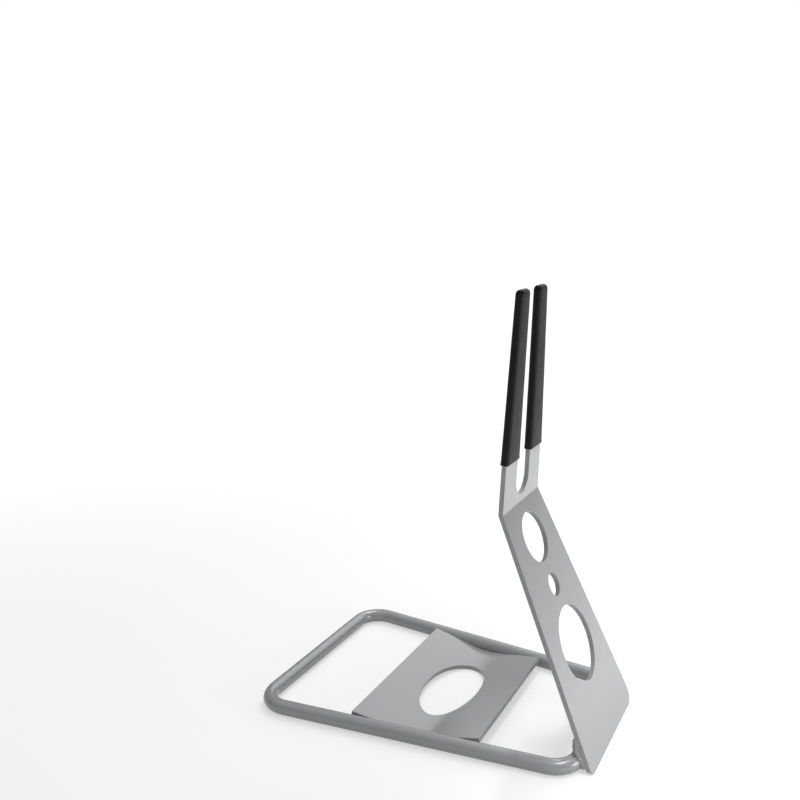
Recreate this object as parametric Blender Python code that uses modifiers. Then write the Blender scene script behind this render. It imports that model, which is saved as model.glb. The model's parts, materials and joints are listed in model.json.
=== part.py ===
"""Floor rack for the rear wheel of a bicycle, in welded steel.

A round tube bent to a flat loop lies on the floor, wider at its free end. A plate bent
to a shallow trough, with a long hole for the tyre, bridges the loop. A tapered plate
stands on the foot end, leans in over the loop, and is bent once to an upright fork whose
two prongs hold the hub's axle between rubber sleeves. The steel pieces are joined by
weld beads.

Metres, +Z up, +X from the free end to the foot of the upright, Y along the wheel.
The origin is on the floor, under the middle of the whole rack.
"""
from math import acos, atan2, ceil, cos, pi, radians, sin, sqrt, tan

import bmesh
import bpy
from mathutils import Matrix, Vector

# Base loop, measured between the axes of its tube
TUBE_DIAMETER = 0.0130
TUBE_WALL = 0.0015
TUBE_BEND_RADIUS = 0.0225
LOOP_LENGTH = 0.2785
FREE_END_WIDTH = 0.2026
SEAM_GAP = 0.0016

# Cross plate, a shallow trough: widths measured along the sheet, before it is bent
CROSS_THICKNESS = 0.0040
CROSS_WIDTH = 0.1158
CROSS_FROM_FOOT = 0.1343
CROSS_EDGE_ROUND = 0.0010
CROSS_BEND_RADIUS = 0.0900
CROSS_WING_RISE = radians(10.2)
CROSS_CLEARANCE = 0.00025
TYRE_HOLE_WIDTH = 0.0504
TYRE_HOLE_LENGTH = 0.0924
TYRE_HOLE_SHIFT = -0.0014

# Upright plate: the leaning lower part, the bend, and the fork above it
PLATE_THICKNESS = 0.0040
PLATE_EDGE_ROUND = 0.0010
FOOT_WIDTH = 0.1282
FOOT_CORNER_NEAR = 0.0045
FOOT_CORNER_FAR = 0.0110
LOWER_LENGTH = 0.2129
LOWER_LEAN = radians(23.8)
BEND_WIDTH = 0.0845
BEND_RADIUS = 0.0040
UPPER_LENGTH = 0.1785
UPPER_LEAN = radians(2.6)
SHOULDER_HEIGHT = 0.0360
SHOULDER_WIDTH = 0.0820
FORK_TOP_WIDTH = 0.0580
SLOT_BOTTOM_HEIGHT = 0.0069
SLOT_WIDTH = 0.0296
SLOT_TOP_WIDTH = 0.0258
PRONG_TIP_RADIUS = 0.0030

# Round holes of the lower part: height up the plate as a share of its length, and diameter
PLATE_HOLES = ((0.3913, 0.0650), (0.6407, 0.0200), (0.8450, 0.0440))

# Rubber sleeves over the prongs
SLEEVE_WALL = 0.0013
SLEEVE_START = 0.0416
SLEEVE_LONG_ROUND = 0.0033
SLEEVE_MOUTH_ROUND = 0.0009

# Weld beads
BEAD_RADIUS = 0.0024
BEAD_PITCH = 0.0030
BEAD_RIPPLE = 0.12
STITCH_LENGTH = 0.0180
STITCH_INSET = 0.0090
FILLET_LENGTH = 0.0900

# Weld that climbs the upright's inner face at each side edge: height, distance off the face, radius
CLIMB = ((0.0030, 0.0026, 0.0027), (0.0080, 0.0016, 0.0028), (0.0130, 0.0026, 0.0031),
         (0.0170, 0.0027, 0.0031), (0.0220, 0.0013, 0.0027), (0.0265, 0.0004, 0.0022))
CLIMB_INSET = 0.0015

# How much wider the loop's foot end is, between its axes, than the plate that stands on it
FOOT_MARGIN = 0.0188

# Clearance between pieces that touch, so that their meshes stay apart
SEAT = 0.0003

# Fineness of round shapes
TUBE_SIDES_LEVEL = 12
BEAD_STEPS = 2
CORNER_STEPS = 10
FILLET_STEPS = 6
TROUGH_STEPS = 5
FINE_ARC = 0.0032
MERGE = 0.00001

TUBE_RADIUS = TUBE_DIAMETER / 2
MID_BEND_RADIUS = BEND_RADIUS + PLATE_THICKNESS / 2
BEND_ANGLE = LOWER_LEAN + UPPER_LEAN
BEND_SETBACK = MID_BEND_RADIUS * tan(BEND_ANGLE / 2)
BEND_ARC = MID_BEND_RADIUS * BEND_ANGLE
# Height in the flat blank of the bend's sharp line, as the fork above measures it
FORK_BASE = LOWER_LENGTH - 2 * BEND_SETBACK + BEND_ARC

# Reach of the upright's foot, on the floor, beyond the axis of the tube that it stands against
FOOT_MID_REACH = (TUBE_RADIUS + SEAT + PLATE_THICKNESS / 2
                  + TUBE_RADIUS * sin(LOWER_LEAN)) / cos(LOWER_LEAN)
FOOT_REACH = FOOT_MID_REACH + PLATE_THICKNESS / 2 / cos(LOWER_LEAN)
FOOT_END_WIDTH = FOOT_WIDTH + FOOT_MARGIN
FOOT_AXIS_X = (LOOP_LENGTH + TUBE_RADIUS - FOOT_REACH) / 2
FREE_AXIS_X = FOOT_AXIS_X - LOOP_LENGTH

# Middle surface of the cross plate: its bend, half the bend's arc, and the bend's centre
CROSS_X = FOOT_AXIS_X - CROSS_FROM_FOOT
CROSS_MID_RADIUS = CROSS_BEND_RADIUS + CROSS_THICKNESS / 2
CROSS_HALF_ARC = CROSS_MID_RADIUS * CROSS_WING_RISE
CROSS_CENTRE = Vector((CROSS_X, 0, CROSS_CLEARANCE + CROSS_THICKNESS / 2 + CROSS_MID_RADIUS))

FOOT_POINT = Vector((FOOT_AXIS_X + FOOT_MID_REACH, 0, 0))
LOWER_UP = Vector((-sin(LOWER_LEAN), 0, cos(LOWER_LEAN)))
LOWER_OUT = Vector((cos(LOWER_LEAN), 0, sin(LOWER_LEAN)))
UPPER_UP = Vector((sin(UPPER_LEAN), 0, cos(UPPER_LEAN)))
UPPER_OUT = Vector((cos(UPPER_LEAN), 0, -sin(UPPER_LEAN)))
BEND_POINT = FOOT_POINT + LOWER_UP * LOWER_LENGTH
ALONG_WHEEL = Vector((0, 1, 0))


def clear_scene():
    for item in list(bpy.data.objects):
        bpy.data.objects.remove(item, do_unlink=True)


def new_collection(name):
    collection = bpy.data.collections.new(name)
    bpy.context.scene.collection.children.link(collection)
    return collection


def new_material(name, colour, roughness, metallic):
    material = bpy.data.materials.new(name)
    material.use_nodes = True
    shader = material.node_tree.nodes["Principled BSDF"]
    shader.inputs["Base Color"].default_value = (*colour, 1.0)
    shader.inputs["Roughness"].default_value = roughness
    shader.inputs["Metallic"].default_value = metallic
    material.diffuse_color = (*colour, 1.0)
    return material


def add_object(name, data, collection, material=None, place=None):
    item = bpy.data.objects.new(name, data)
    collection.objects.link(item)
    if material:
        data.materials.append(material)
    if place:
        item.matrix_world = place
    return item


def hide_cutter(item):
    item.hide_render = True
    item.display_type = "WIRE"
    return item


def fillet(before, corner, after, radius, steps):
    """Points of the arc that rounds one corner of a flat path."""
    back = (before - corner).normalized()
    ahead = (after - corner).normalized()
    half = acos(max(-1.0, min(1.0, back.dot(ahead)))) / 2
    reach = radius / tan(half)
    centre = corner + (back + ahead).normalized() * (radius / sin(half))
    start = corner + back * reach - centre
    end = corner + ahead * reach - centre
    angle = atan2(start.y, start.x)
    turn = (atan2(end.y, end.x) - angle + pi) % (2 * pi) - pi
    return [centre + radius * Vector((cos(angle + turn * k / steps), sin(angle + turn * k / steps)))
            for k in range(steps + 1)]


def rounded(corners, steps):
    """Closed flat path through (point, radius) corners; a radius of 0 keeps the corner sharp."""
    path = []
    for k, (corner, radius) in enumerate(corners):
        if radius:
            before = corners[k - 1][0]
            after = corners[(k + 1) % len(corners)][0]
            path += fillet(before, corner, after, radius, steps)
        else:
            path.append(corner)
    return path


def ellipse(centre, width, length, count):
    return [centre + Vector((width / 2 * cos(2 * pi * k / count), length / 2 * sin(2 * pi * k / count)))
            for k in range(count)]


def circle(centre, diameter):
    """Circle as a polygon whose sides are about one fine arc long."""
    return ellipse(centre, diameter, diameter, 4 * ceil(pi * diameter / FINE_ARC / 4))


def add_spline(curve, points, cyclic, radii=None):
    spline = curve.splines.new("POLY")
    spline.points.add(len(points) - 1)
    for k, point in enumerate(points):
        spline.points[k].co = (*point.to_3d(), 1.0)
        spline.points[k].radius = radii[k] if radii else 1.0
    spline.use_cyclic_u = cyclic


def mesh_from_curve(curve, name):
    """Turn a curve into a mesh with its caps welded, and remove the curve."""
    maker = bpy.data.objects.new(name + "_curve", curve)
    bpy.context.scene.collection.objects.link(maker)
    bpy.context.view_layer.update()
    evaluated = maker.evaluated_get(bpy.context.evaluated_depsgraph_get())
    mesh = bpy.data.meshes.new_from_object(evaluated)
    mesh.name = name
    bpy.data.objects.remove(maker, do_unlink=True)
    bpy.data.curves.remove(curve)
    cleanup = bmesh.new()
    cleanup.from_mesh(mesh)
    bmesh.ops.remove_doubles(cleanup, verts=cleanup.verts, dist=MERGE)
    bmesh.ops.recalc_face_normals(cleanup, faces=cleanup.faces)
    cleanup.to_mesh(mesh)
    cleanup.free()
    return mesh


def rod_mesh(name, points, radius, level, cyclic=False, caps=True, radii=None):
    """Round rod along a list of points."""
    curve = bpy.data.curves.new(name, "CURVE")
    curve.dimensions = "3D"
    curve.bevel_depth = radius
    curve.bevel_resolution = level
    curve.use_fill_caps = caps
    add_spline(curve, points, cyclic, radii)
    return mesh_from_curve(curve, name)


def sheet_mesh(name, outlines, thickness):
    """Flat sheet in the XY plane: the first outline, less the others, in few large faces."""
    curve = bpy.data.curves.new(name, "CURVE")
    curve.dimensions = "2D"
    curve.fill_mode = "BOTH"
    curve.extrude = thickness / 2
    for outline in outlines:
        add_spline(curve, outline, True)
    mesh = mesh_from_curve(curve, name)
    shape = bmesh.new()
    shape.from_mesh(mesh)
    inner = [edge for edge in shape.edges if edge.calc_face_angle(pi) < radians(1)]
    bmesh.ops.dissolve_limit(shape, angle_limit=radians(1), verts=[], edges=inner)
    shape.to_mesh(mesh)
    shape.free()
    return mesh


def box_mesh(name, size):
    mesh = bpy.data.meshes.new(name)
    shape = bmesh.new()
    bmesh.ops.create_cube(shape, size=1.0)
    bmesh.ops.scale(shape, vec=size, verts=shape.verts)
    shape.to_mesh(mesh)
    shape.free()
    return mesh


def round_edges(item, width, segments, by_weight=False):
    bevel = item.modifiers.new("rounded_edges", "BEVEL")
    bevel.width = width
    bevel.segments = segments
    bevel.limit_method = "WEIGHT" if by_weight else "ANGLE"
    bevel.angle_limit = radians(40)
    return bevel


def cut(item, cutter):
    modifier = item.modifiers.new("cut_" + cutter.name, "BOOLEAN")
    modifier.operation = "DIFFERENCE"
    modifier.solver = "EXACT"
    modifier.object = cutter
    return modifier


def smooth(item, angle=radians(35)):
    item.data.shade_smooth()
    item.data.set_sharp_from_angle(angle=angle)


def side_y(x):
    """Half width of the loop, from the middle to a side run's axis, at this x."""
    share = (x - FREE_AXIS_X) / LOOP_LENGTH
    return (FREE_END_WIDTH + (FOOT_END_WIDTH - FREE_END_WIDTH) * share) / 2


def loop_corners():
    half_free, half_foot = FREE_END_WIDTH / 2, FOOT_END_WIDTH / 2
    return [Vector((FOOT_AXIS_X, half_foot)), Vector((FREE_AXIS_X, half_free)),
            Vector((FREE_AXIS_X, -half_free)), Vector((FOOT_AXIS_X, -half_foot))]


def loop_path():
    """Axis of the tube, from the middle of the foot end round to the middle again."""
    flat = rounded([(corner, TUBE_BEND_RADIUS) for corner in loop_corners()], CORNER_STEPS)
    return [Vector((point.x, point.y, TUBE_RADIUS)) for point in flat]


def base_loop(parts, material):
    """The bent tube, hollow, with its two ends facing each other across the seam."""
    half_gap = Vector((0, SEAM_GAP / 2, 0))
    middle = Vector((FOOT_AXIS_X, 0, TUBE_RADIUS))
    points = [middle + half_gap] + loop_path() + [middle - half_gap]
    mesh = rod_mesh("base_loop", points, TUBE_RADIUS, TUBE_SIDES_LEVEL, caps=False)
    item = add_object("base_loop", mesh, parts, material)
    wall = item.modifiers.new("tube_wall", "SOLIDIFY")
    wall.thickness = TUBE_WALL
    wall.offset = -1.0
    wall.use_rim = True
    smooth(item)
    return item


def seam_weld(parts, material):
    """Weld metal that closes the seam, ground flush with the tube."""
    profile = [(TUBE_RADIUS, SEAM_GAP / 2 - SEAT), (TUBE_RADIUS, SEAT - SEAM_GAP / 2),
               (TUBE_RADIUS - TUBE_WALL, SEAT - SEAM_GAP / 2), (TUBE_RADIUS - TUBE_WALL, SEAM_GAP / 2 - SEAT)]
    mesh = bpy.data.meshes.new("loop_seam_weld")
    shape = bmesh.new()
    corners = [shape.verts.new((across, 0, along)) for across, along in profile]
    for k, corner in enumerate(corners):
        shape.edges.new((corner, corners[(k + 1) % len(corners)]))
    shape.to_mesh(mesh)
    shape.free()
    place = Matrix.Translation((FOOT_AXIS_X, 0, TUBE_RADIUS)) @ Matrix.Rotation(-pi / 2, 4, "X")
    item = add_object("loop_seam_weld", mesh, parts, material, place)
    turn = item.modifiers.new("turned", "SCREW")
    turn.steps = turn.render_steps = 2 * TUBE_SIDES_LEVEL + 4
    turn.use_merge_vertices = True
    turn.merge_threshold = MERGE
    smooth(item)
    return item


def cross_end_y(x):
    """Half length of the cross plate at this x: its end stands a seat off the tube's side."""
    flare = (FREE_END_WIDTH - FOOT_END_WIDTH) / 2 / LOOP_LENGTH
    return side_y(x) - (TUBE_RADIUS + SEAT) * sqrt(1 + flare * flare)


def trough_lines():
    """Distances from the cross plate's middle, along the sheet, at which its bend turns."""
    return [CROSS_HALF_ARC * (2 * k / TROUGH_STEPS - 1) for k in range(TROUGH_STEPS + 1)]


def trough(point):
    """Place a point of the flat blank on the trough: x across it, y along it, z through the sheet."""
    bent = max(-CROSS_HALF_ARC, min(point.x, CROSS_HALF_ARC))
    steps_along = (bent / CROSS_HALF_ARC + 1) / 2 * TROUGH_STEPS
    first = min(int(steps_along), TROUGH_STEPS - 1)
    on_lines = []
    for line in trough_lines()[first:first + 2]:
        turned = line / CROSS_MID_RADIUS
        up = Vector((-sin(turned), 0, cos(turned)))
        on_lines.append(CROSS_CENTRE - up * (CROSS_MID_RADIUS - point.z))
    wing_turn = bent / CROSS_MID_RADIUS
    beyond = Vector((cos(wing_turn), 0, sin(wing_turn))) * (point.x - bent)
    return on_lines[0].lerp(on_lines[1], steps_along - first) + beyond + ALONG_WHEEL * point.y


def bend_sheet(mesh, lines, axis, placer):
    """Divide a flat blank along straight lines, then bend it."""
    shape = bmesh.new()
    shape.from_mesh(mesh)
    for line in lines:
        everything = shape.verts[:] + shape.edges[:] + shape.faces[:]
        bmesh.ops.bisect_plane(shape, geom=everything, dist=MERGE, plane_co=axis * line, plane_no=axis)
    for vertex in shape.verts:
        vertex.co = placer(vertex.co)
    shape.to_mesh(mesh)
    shape.free()


def tyre_hole():
    """The long hole, as a polygon that has a corner wherever a line of the bend crosses it."""
    count = 4 * ceil(pi * (TYRE_HOLE_WIDTH + TYRE_HOLE_LENGTH) / 2 / FINE_ARC / 4)
    angles = [2 * pi * k / count for k in range(count)]
    for line in trough_lines():
        if abs(line) < TYRE_HOLE_WIDTH / 2:
            crossing = acos(2 * line / TYRE_HOLE_WIDTH)
            nearest = round(crossing / (2 * pi) * count)
            angles[nearest] = crossing
            angles[count - nearest] = 2 * pi - crossing
    return [Vector((TYRE_HOLE_WIDTH / 2 * cos(angle), TYRE_HOLE_SHIFT + TYRE_HOLE_LENGTH / 2 * sin(angle)))
            for angle in angles]


def cross_plate(parts, material):
    """The flat blank with its hole, then bent to a shallow trough."""
    stations = [-CROSS_WIDTH / 2, -CROSS_HALF_ARC, CROSS_HALF_ARC, CROSS_WIDTH / 2]
    side = [Vector((x, cross_end_y(trough(Vector((x, 0, 0))).x))) for x in stations]
    outline = side + [Vector((point.x, -point.y)) for point in reversed(side)]
    mesh = sheet_mesh("cross_plate", [outline, tyre_hole()], CROSS_THICKNESS)
    bend_sheet(mesh, trough_lines(), Vector((1, 0, 0)), trough)
    item = add_object("cross_plate", mesh, parts, material)
    round_edges(item, CROSS_EDGE_ROUND, 3)
    smooth(item)
    return item


def fork_outer(height):
    """Half width across the fork's outer edges, this high above the bend."""
    if height < SHOULDER_HEIGHT:
        share = height / SHOULDER_HEIGHT
        return (BEND_WIDTH + (SHOULDER_WIDTH - BEND_WIDTH) * share) / 2
    share = (height - SHOULDER_HEIGHT) / (UPPER_LENGTH - SHOULDER_HEIGHT)
    return (SHOULDER_WIDTH + (FORK_TOP_WIDTH - SHOULDER_WIDTH) * share) / 2


def slot_half(height):
    """Half width of the slot, this high above the bend."""
    start = SLOT_BOTTOM_HEIGHT + SLOT_WIDTH / 2
    share = (height - start) / (UPPER_LENGTH - start)
    return (SLOT_WIDTH + (SLOT_TOP_WIDTH - SLOT_WIDTH) * share) / 2


def upright_outline():
    """Outline of the flat blank: x across it, y up it from the foot edge."""
    top = FORK_BASE + UPPER_LENGTH
    slot_centre = FORK_BASE + SLOT_BOTTOM_HEIGHT + SLOT_WIDTH / 2
    right = [(Vector((BEND_WIDTH / 2, LOWER_LENGTH - BEND_SETBACK)), 0),
             (Vector((BEND_WIDTH / 2, FORK_BASE + BEND_SETBACK)), 0),
             (Vector((fork_outer(SHOULDER_HEIGHT), FORK_BASE + SHOULDER_HEIGHT)), 0),
             (Vector((FORK_TOP_WIDTH / 2, top)), PRONG_TIP_RADIUS),
             (Vector((SLOT_TOP_WIDTH / 2, top)), PRONG_TIP_RADIUS)]
    count = 4 * FILLET_STEPS
    slot = [(Vector((0, slot_centre)) + SLOT_WIDTH / 2 * Vector((cos(a), -sin(a))), 0)
            for a in (pi * k / count for k in range(count + 1))]
    left = [(Vector((-point.x, point.y)), radius) for point, radius in reversed(right)]
    far_foot = (Vector((FOOT_WIDTH / 2, 0)), FOOT_CORNER_FAR)
    near_foot = (Vector((-FOOT_WIDTH / 2, 0)), FOOT_CORNER_NEAR)
    return rounded([far_foot] + right + slot + left + [near_foot], FILLET_STEPS)


def fold(point):
    """Place a point of the flat blank on the bent plate: x across, y up the sheet, z through it.

    The foot edge is cut level with the floor, so it slopes through the leaning sheet.
    """
    bend_start = LOWER_LENGTH - BEND_SETBACK
    near_floor = max(0.0, 1.0 - point.y / max(FOOT_CORNER_NEAR, FOOT_CORNER_FAR))
    along = min(point.y, bend_start) - near_floor * point.z * tan(LOWER_LEAN)
    turned = max(0.0, min(point.y - bend_start, BEND_ARC)) / MID_BEND_RADIUS
    beyond = max(0.0, point.y - bend_start - BEND_ARC)
    lean = LOWER_LEAN - turned
    up = Vector((-sin(lean), 0, cos(lean)))
    out = Vector((cos(lean), 0, sin(lean)))
    centre = FOOT_POINT + LOWER_UP * along + LOWER_OUT * MID_BEND_RADIUS
    return centre + out * (point.z - MID_BEND_RADIUS) + up * beyond + ALONG_WHEEL * point.x


def upright_plate(parts, material):
    """The flat blank with its holes and slot, then bent once."""
    holes = [circle(Vector((0, share * LOWER_LENGTH)), diameter) for share, diameter in PLATE_HOLES]
    mesh = sheet_mesh("upright_plate", [upright_outline()] + holes, PLATE_THICKNESS)
    lines = [LOWER_LENGTH - BEND_SETBACK + BEND_ARC * k / FILLET_STEPS for k in range(FILLET_STEPS + 1)]
    bend_sheet(mesh, lines, Vector((0, 1, 0)), fold)
    item = add_object("upright_plate", mesh, parts, material)
    round_edges(item, PLATE_EDGE_ROUND, 3)
    smooth(item)
    return item


def fork_place():
    """Frame of the fork: x across it, y up it from the bend, z out of its outer face."""
    columns = Matrix((ALONG_WHEEL, UPPER_UP, UPPER_OUT)).transposed().to_4x4()
    return Matrix.Translation(BEND_POINT) @ columns


def prong_outline(side, grow, bottom, top):
    """One prong between two heights, grown on every side but the bottom."""
    edges = [(slot_half(bottom) - grow, bottom), (fork_outer(bottom) + grow, bottom),
             (fork_outer(UPPER_LENGTH) + grow, top), (slot_half(UPPER_LENGTH) - grow, top)]
    return [Vector((side * across, height)) for across, height in edges]


def prong_sleeve(name, side, parts, cutters, material):
    """Rubber sleeve over one prong, closed over its tip and open below."""
    grow = SEAT + SLEEVE_WALL
    outline = prong_outline(side, grow, SLEEVE_START, UPPER_LENGTH + grow)
    mesh = sheet_mesh(name, [outline], PLATE_THICKNESS + 2 * grow)
    weights = mesh.attributes.new("bevel_weight_edge", "FLOAT", "EDGE")
    for edge in mesh.edges:
        heights = [mesh.vertices[k].co.y for k in edge.vertices]
        at_mouth = max(heights) < SLEEVE_START + MERGE
        weights.data[edge.index].value = SLEEVE_MOUTH_ROUND / SLEEVE_LONG_ROUND if at_mouth else 1.0
    item = add_object(name, mesh, parts, material, fork_place())
    round_edges(item, SLEEVE_LONG_ROUND, 4, by_weight=True)
    pocket = prong_outline(side, SEAT, SLEEVE_START - 2 * SLEEVE_LONG_ROUND, UPPER_LENGTH + SEAT)
    pocket_mesh = sheet_mesh(name + "_pocket", [pocket], PLATE_THICKNESS + 2 * SEAT)
    cutter = hide_cutter(add_object(name + "_pocket", pocket_mesh, cutters, place=fork_place()))
    cut(item, cutter)
    smooth(item)
    return item


def at_length(run, length):
    """Point and radius this far along a run of (point, radius) stations."""
    for (start, start_radius), (end, end_radius) in zip(run, run[1:]):
        step = (end - start).length
        if length <= step:
            break
        length -= step
    share = min(1.0, length / step)
    return start.lerp(end, share), start_radius + (end_radius - start_radius) * share


def bead_mesh(name, run):
    """Weld bead along a run, with ripples along it and rounded ends."""
    total = sum((after[0] - before[0]).length for before, after in zip(run, run[1:]))
    count = 2 * max(2, round(total / BEAD_PITCH))
    points, radii = [], []
    for k in range(count + 1):
        point, radius = at_length(run, total * k / count)
        points.append(point)
        swell = 0.55 if k in (0, count) else 1.0
        radii.append(radius / BEAD_RADIUS * swell * (1.0 - BEAD_RIPPLE * (k % 2)))
    return rod_mesh(name, points, BEAD_RADIUS, BEAD_STEPS, radii=radii)


def weld(name, run, parts, material, cutters):
    """One weld bead, trimmed to the pieces that it joins."""
    mesh = bead_mesh(name, run)
    item = add_object(name, mesh, parts, material)
    for cutter in cutters:
        cut(item, cutter)
    smooth(item)
    return item


def clearance_cutters(cutters):
    """Space that the tube and the two plates keep free of weld metal."""
    room = Vector((0.4, 0.4, 0.4))
    tube_mesh = rod_mesh("tube_room", loop_path(), TUBE_RADIUS + SEAT, TUBE_SIDES_LEVEL, cyclic=True)
    tube = hide_cutter(add_object("tube_room", tube_mesh, cutters))
    half = CROSS_WIDTH / 2 + SEAT
    outline = [Vector((half, -room.y / 2)), Vector((half, room.y / 2)),
               Vector((-half, room.y / 2)), Vector((-half, -room.y / 2))]
    cross_mesh = sheet_mesh("cross_room", [outline], CROSS_THICKNESS + 2 * SEAT)
    bend_sheet(cross_mesh, trough_lines(), Vector((1, 0, 0)), trough)
    cross = hide_cutter(add_object("cross_room", cross_mesh, cutters))
    plate_mesh = box_mesh("plate_room", (room.x, room.y, PLATE_THICKNESS + 2 * SEAT))
    turned = Matrix((ALONG_WHEEL, LOWER_UP, LOWER_OUT)).transposed().to_4x4()
    plate_place = Matrix.Translation(FOOT_POINT) @ turned
    plate = hide_cutter(add_object("plate_room", plate_mesh, cutters, place=plate_place))
    return tube, cross, plate


def cross_run(side, end):
    """A short stitch in the corner between the cross plate's underside and the tube."""
    depth = CROSS_THICKNESS / 2 + 0.5 * BEAD_RADIUS
    off_axis = TUBE_RADIUS + 0.65 * BEAD_RADIUS
    stations = []
    for inset in (STITCH_INSET, STITCH_INSET + STITCH_LENGTH):
        point = trough(Vector((end * (CROSS_WIDTH / 2 - inset), 0, -depth)))
        point.y = side * (side_y(point.x) - off_axis)
        stations.append((point, BEAD_RADIUS))
    return stations


def upright_fillet_run():
    """The long bead in the groove where the upright leans over the tube."""
    axis = Vector((FOOT_AXIS_X, 0, TUBE_RADIUS))
    middle = axis + LOWER_OUT * (TUBE_RADIUS - 0.5 * BEAD_RADIUS) + LOWER_UP * (TUBE_RADIUS - 0.2 * BEAD_RADIUS)
    half = ALONG_WHEEL * (FILLET_LENGTH / 2)
    return [(middle - half, BEAD_RADIUS), (middle + half, BEAD_RADIUS)]


def upright_end_run(side):
    """The bead at the plate's side edge: up the groove beside the bending tube, then up the plate."""
    stations = []
    for height, off_face, radius in CLIMB:
        depth = PLATE_THICKNESS / 2 + off_face
        up_plate = (height + depth * sin(LOWER_LEAN)) / cos(LOWER_LEAN)
        half = (FOOT_WIDTH + (BEND_WIDTH - FOOT_WIDTH) * up_plate / LOWER_LENGTH) / 2
        across = ALONG_WHEEL * side * (half - CLIMB_INSET)
        stations.append((FOOT_POINT + LOWER_UP * up_plate - LOWER_OUT * depth + across, radius))
    return stations


def build():
    clear_scene()
    parts = new_collection("bicycle_rack")
    cutters = new_collection("cutters")
    steel = new_material("painted_steel", (0.42, 0.43, 0.44), 0.38, 0.3)
    plate_steel = new_material("painted_plate", (0.45, 0.46, 0.47), 0.40, 0.3)
    weld_steel = new_material("painted_weld", (0.33, 0.34, 0.35), 0.45, 0.3)
    rubber = new_material("black_rubber", (0.022, 0.022, 0.024), 0.55, 0.0)

    base_loop(parts, steel)
    seam_weld(parts, weld_steel)
    cross_plate(parts, plate_steel)
    upright_plate(parts, plate_steel)
    tube_room, cross_room, plate_room = clearance_cutters(cutters)
    for word, side in (("near", -1), ("far", 1)):
        for edge, end in (("free", -1), ("foot", 1)):
            weld("cross_weld_" + word + "_" + edge, cross_run(side, end), parts, weld_steel,
                 [tube_room, cross_room])
        weld("upright_weld_" + word, upright_end_run(side), parts, weld_steel, [tube_room, plate_room])
        prong_sleeve("prong_sleeve_" + word, side, parts, cutters, rubber)
    weld("upright_weld_inner", upright_fillet_run(), parts, weld_steel, [tube_room, plate_room])
    print("pieces:", len(parts.objects))


build()
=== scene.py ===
import json
import random
from math import acos, atan2, ceil, cos, pi, radians, sin, sqrt, tan

import bmesh
import bpy
from mathutils import Matrix, Vector, noise

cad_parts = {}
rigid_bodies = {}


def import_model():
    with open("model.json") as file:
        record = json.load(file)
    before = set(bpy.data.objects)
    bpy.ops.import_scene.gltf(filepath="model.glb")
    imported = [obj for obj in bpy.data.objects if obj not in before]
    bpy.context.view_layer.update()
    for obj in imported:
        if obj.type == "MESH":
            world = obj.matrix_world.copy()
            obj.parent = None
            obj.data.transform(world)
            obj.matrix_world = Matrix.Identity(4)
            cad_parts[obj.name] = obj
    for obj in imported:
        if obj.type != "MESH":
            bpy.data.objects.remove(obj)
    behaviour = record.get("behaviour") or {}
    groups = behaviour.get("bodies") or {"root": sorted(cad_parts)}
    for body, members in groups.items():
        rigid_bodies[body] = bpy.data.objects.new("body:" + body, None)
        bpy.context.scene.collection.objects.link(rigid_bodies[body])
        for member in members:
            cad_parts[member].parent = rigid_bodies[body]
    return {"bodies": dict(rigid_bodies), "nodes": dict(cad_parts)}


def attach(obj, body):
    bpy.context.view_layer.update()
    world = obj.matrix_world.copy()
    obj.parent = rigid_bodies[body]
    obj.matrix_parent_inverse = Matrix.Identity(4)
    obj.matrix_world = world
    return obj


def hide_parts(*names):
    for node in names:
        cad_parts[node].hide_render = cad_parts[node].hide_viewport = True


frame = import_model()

# A steel floor rack: tube loop, trough-shaped cross plate, bent upright with a sleeved fork, welds.
# Metres, +Z up, +X from the loop's free end to the upright's foot, +Y across the rack.

# the startup file's own cube, lamp and camera go
ownObjects = set(frame["nodes"].values()) | set(frame["bodies"].values())
for item in list(bpy.data.objects):
    if item not in ownObjects:
        bpy.data.objects.remove(item, do_unlink=True)
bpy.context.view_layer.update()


# Camera, where the photograph was taken from

camera = {
    "place": (0.30846, -0.6811, 0.4417),
    "turn": 27.78,       # degrees to the left of straight ahead
    "down": 12.48,       # degrees below level
    "roll": 0.72,
    "lens": 40.25,       # mm
    "sensor": 36,        # mm
    "nearest": 0.01,     # metres; nothing closer than this is seen
}


def addCamera(look):
    turn, down, roll = (radians(look[key]) for key in ("turn", "down", "roll"))
    ahead = Vector((-sin(turn) * cos(down), cos(turn) * cos(down), -sin(down)))
    level = Vector((cos(turn), sin(turn), 0))
    below = ahead.cross(level)
    across = level * cos(roll) + below * sin(roll)
    under = below * cos(roll) - level * sin(roll)
    data = bpy.data.cameras.new("photoCamera")
    data.lens = look["lens"]
    data.sensor_width = look["sensor"]
    data.clip_start = look["nearest"]
    item = bpy.data.objects.new("photoCamera", data)
    bpy.context.scene.collection.objects.link(item)
    turned = Matrix((across, -under, -ahead)).transposed().to_4x4()
    item.matrix_world = Matrix.Translation(look["place"]) @ turned
    bpy.context.scene.camera = item


addCamera(camera)
bpy.context.scene.view_settings.view_transform = "Standard"
print("camera set")


# Studio: a pale grey floor lifted to white for the eye, a plain surround and soft lamps

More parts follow.
